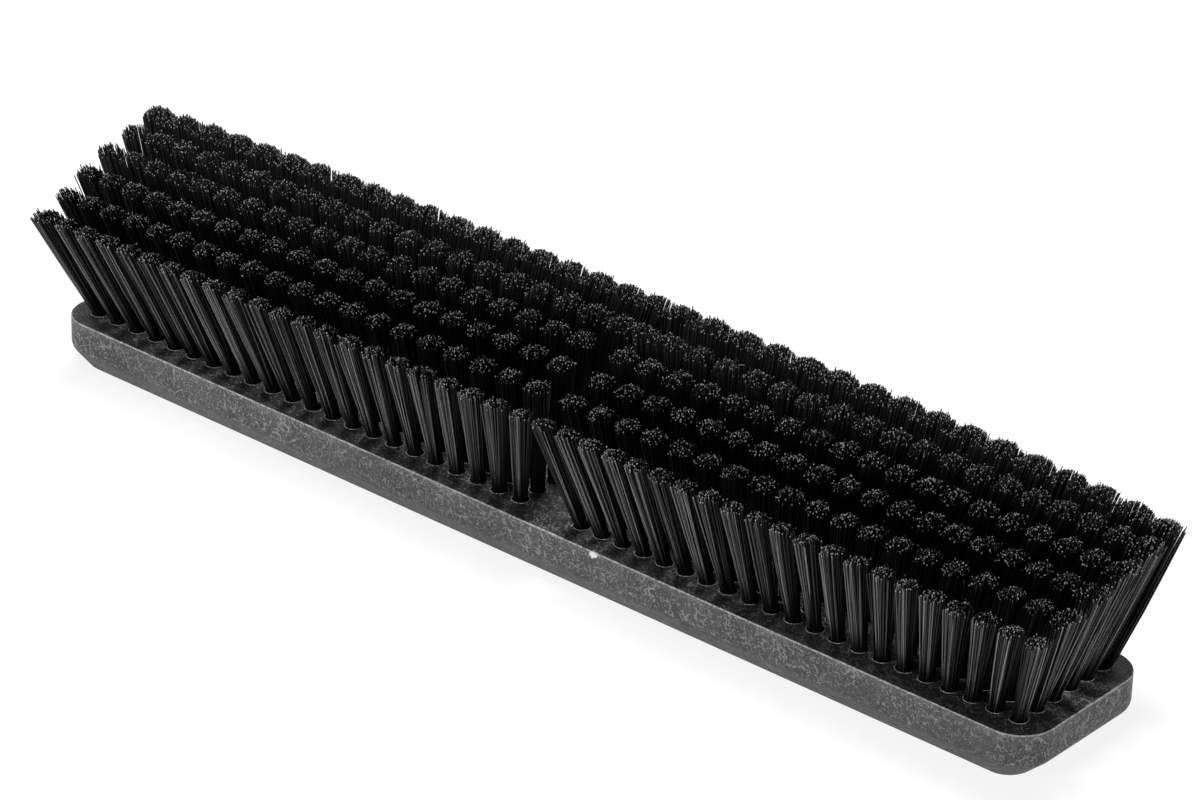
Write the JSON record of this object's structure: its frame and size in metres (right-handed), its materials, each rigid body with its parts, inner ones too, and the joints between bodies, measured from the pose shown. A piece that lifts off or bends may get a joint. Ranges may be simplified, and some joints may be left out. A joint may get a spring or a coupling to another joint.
{
  "type": "push broom head",
  "caption": "Long moulded plastic block drilled with six rows of stiff black bristle tufts that fan outwards, with two slanted handle sockets in its flat back.",
  "frame": {"origin": "centre of the block's flat back face", "axes": "+X along the block, +Y across it, +Z out of the drilled face towards the bristle tips"},
  "size_m": [0.5026, 0.108, 0.0726],
  "materials": {
    "block_plastic": "matte moulded plastic with fine rub marks",
    "filament": "satin extruded filament"
  },
  "bodies": {
    "root": {"block": "block_plastic", "tuft_row_1_left": "filament", "tuft_row_1_right": "filament", "tuft_row_2_left": "filament", "tuft_row_2_right": "filament", "tuft_row_3_left": "filament", "tuft_row_3_right": "filament", "tuft_row_4_left": "filament", "tuft_row_4_right": "filament", "tuft_row_5_left": "filament", "tuft_row_5_right": "filament", "tuft_row_6_left": "filament", "tuft_row_6_right": "filament"}
  },
  "joints": []
}
